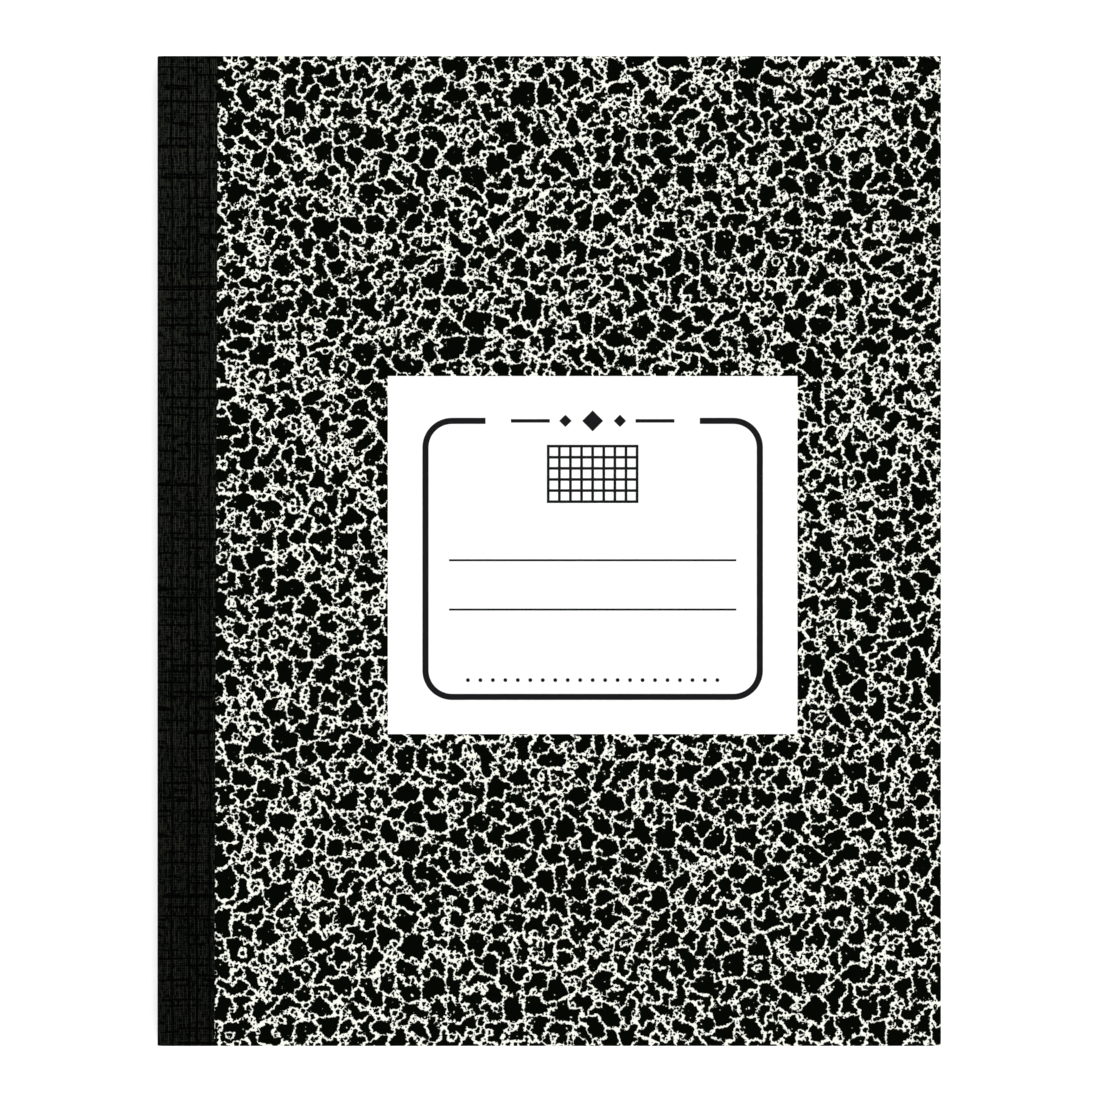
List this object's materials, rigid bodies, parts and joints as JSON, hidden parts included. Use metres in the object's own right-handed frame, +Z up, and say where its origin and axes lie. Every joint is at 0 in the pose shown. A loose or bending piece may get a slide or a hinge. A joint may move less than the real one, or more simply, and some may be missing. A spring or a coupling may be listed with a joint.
{
  "type": "composition notebook",
  "caption": "Sewn notebook of squared leaves in stiff marbled paper covers, with a cloth-grain spine tape and a paste-on cover label; both covers open on the spine.",
  "frame": {"origin": "middle of the notebook's underside, which rests on the table", "axes": "+X from the spine to the fore-edge, +Y from the tail to the head, +Z up out of the front cover"},
  "size_m": [0.2012, 0.254, 0.01],
  "materials": {
    "leaf_paper": "matte uncoated paper, squared",
    "endpaper": "matte uncoated paper",
    "thread": "matte cotton thread",
    "tape": "matte cloth-grain binding tape",
    "board": "matte pressed board",
    "marbled_paper": "smooth black-and-cream marbled paper",
    "label_paper": "smooth white paper",
    "print_black": "matte printed black"
  },
  "bodies": {
    "pages": {"page_block": "leaf_paper", "endpaper_fold": "endpaper", "sewing_thread": "thread", "spine_tape": "tape"},
    "front_cover": {"front_board": "board", "front_marbled_paper": "marbled_paper", "front_endpaper": "endpaper", "spine_tape_front": "tape", "cover_label": "label_paper", "label_print": "print_black"},
    "back_cover": {"back_board": "board", "back_marbled_paper": "marbled_paper", "back_endpaper": "endpaper", "spine_tape_back": "tape"}
  },
  "joints": [
    {"name": "front_cover_hinge", "type": "hinge", "parent": "pages", "child": "front_cover", "pos_m": [-0.10055, 0, 0.009], "axis": [0, -1, 0], "range_deg": [0, 179]},
    {"name": "back_cover_hinge", "type": "hinge", "parent": "pages", "child": "back_cover", "pos_m": [-0.10055, 0, 0.001], "axis": [0, 1, 0], "range_deg": [0, 179]}
  ]
}
